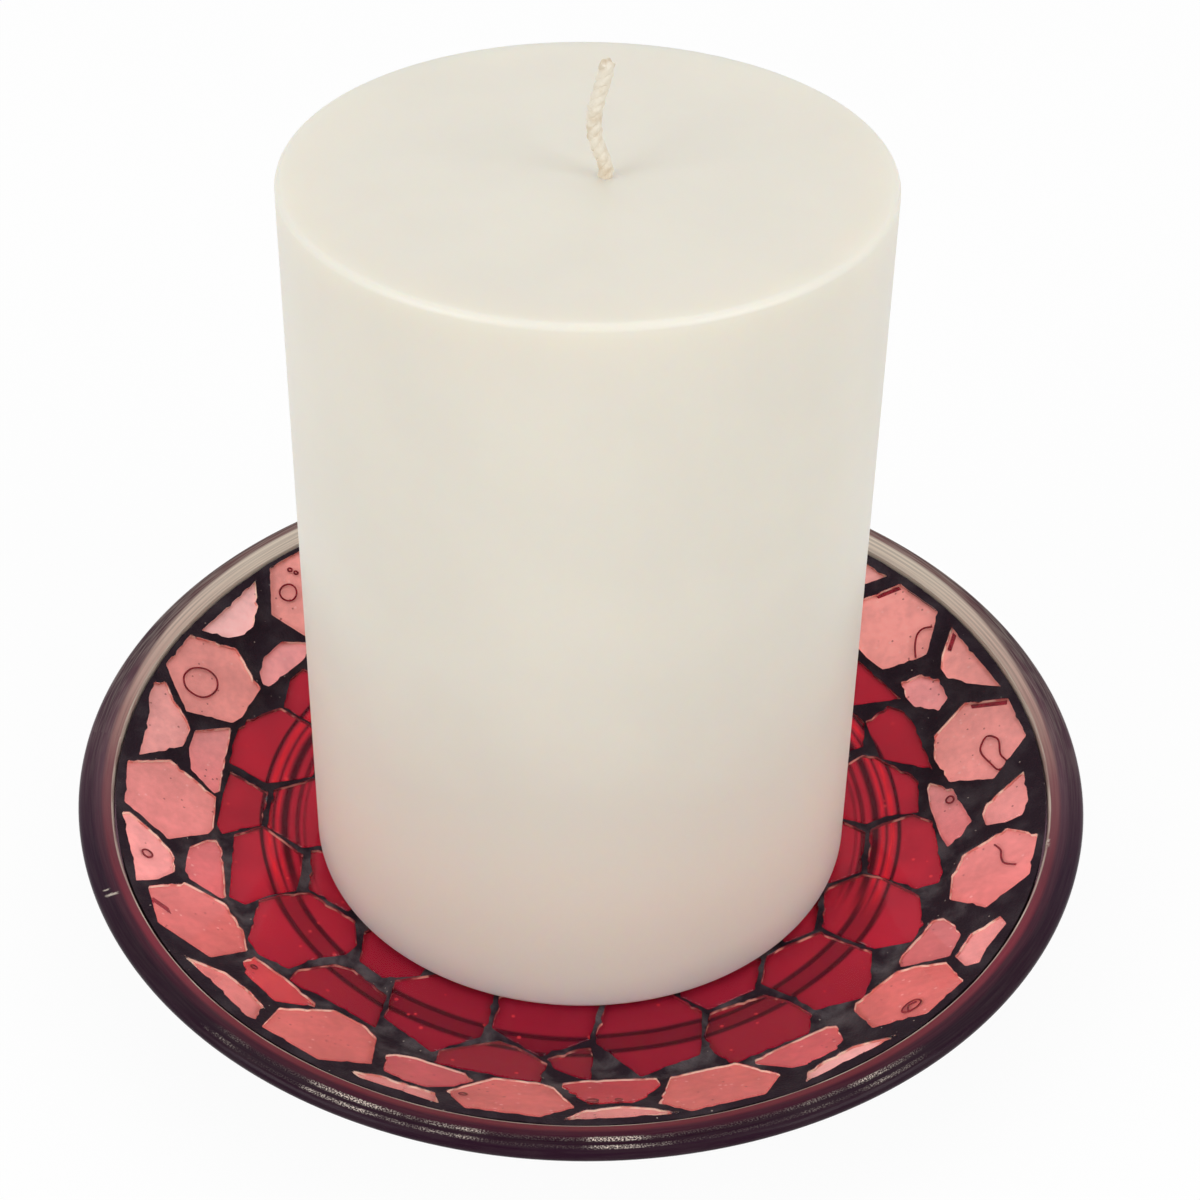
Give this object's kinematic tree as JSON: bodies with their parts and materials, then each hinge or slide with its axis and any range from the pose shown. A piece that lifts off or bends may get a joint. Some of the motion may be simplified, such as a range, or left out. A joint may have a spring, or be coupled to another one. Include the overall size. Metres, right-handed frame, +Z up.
{
  "type": "candle holder",
  "caption": "Round glass dish with a foot ring, lined with a mosaic of cut glass pieces in dark grout, holding a lift-off pillar candle.",
  "frame": {"origin": "on the table plane, at the middle of the foot ring", "axes": "+Z up along the axis of the dish and candle; -Y is the side nearest the camera in the picture"},
  "size_m": [0.1418, 0.1418, 0.1269],
  "materials": {
    "clear_glass": "pressed, slightly smoky",
    "red_glass": "cut, glossy",
    "pink_glass": "cut, glossy, backed",
    "pale_glass": "cut, glossy, backed",
    "grout": "sandy, matte",
    "wax": "smooth, slightly translucent",
    "cotton": "braided",
    "tinplate": "stamped"
  },
  "bodies": {
    "dish": {"glass_dish": "clear_glass", "red_piece_sheet": "red_glass", "grout": "grout", "pink_tile_01": "pink_glass", "pink_tile_02": "pink_glass", "pink_tile_03": "pink_glass", "pink_tile_04": "pink_glass", "pink_tile_05": "pink_glass", "pink_tile_06": "pink_glass", "pink_tile_07": "pink_glass", "pink_tile_08": "pink_glass", "pink_tile_09": "pink_glass", "pink_tile_10": "pink_glass", "pink_tile_11": "pink_glass", "pink_tile_12": "pink_glass", "pink_tile_13": "pink_glass", "pink_tile_14": "pink_glass", "rim_shard_01": "pale_glass", "rim_shard_02": "pink_glass", "rim_shard_03": "pink_glass", "rim_shard_04": "pale_glass", "rim_shard_05": "pink_glass", "rim_shard_06": "pink_glass", "rim_shard_07": "pale_glass", "rim_shard_08": "pink_glass", "rim_shard_09": "pink_glass", "rim_shard_10": "pale_glass", "rim_shard_11": "pink_glass", "rim_shard_12": "pink_glass", "rim_shard_13": "pale_glass", "rim_shard_14": "pink_glass", "inner_shard_01": "pale_glass", "inner_shard_02": "pink_glass", "inner_shard_03": "pale_glass", "inner_shard_04": "pink_glass", "inner_shard_05": "pale_glass", "inner_shard_06": "pink_glass", "inner_shard_07": "pale_glass", "inner_shard_08": "pink_glass", "inner_shard_09": "pale_glass", "inner_shard_10": "pink_glass", "inner_shard_11": "pale_glass", "inner_shard_12": "pink_glass", "inner_shard_13": "pale_glass", "inner_shard_14": "pink_glass", "red_tile_01": "red_glass", "red_tile_02": "red_glass", "red_tile_03": "red_glass", "red_tile_04": "red_glass", "red_tile_05": "red_glass", "red_tile_06": "red_glass", "red_tile_07": "red_glass", "red_tile_08": "red_glass", "red_tile_09": "red_glass", "red_tile_10": "red_glass", "red_tile_11": "red_glass", "red_tile_12": "red_glass"},
    "candle": {"candle_wax": "wax", "wick": "cotton", "wick_sustainer": "tinplate"}
  },
  "joints": [
    {"name": "candle_lift", "type": "slide", "parent": "dish", "child": "candle", "axis": [0, 0, 1], "range_m": [0, 0.13]}
  ]
}
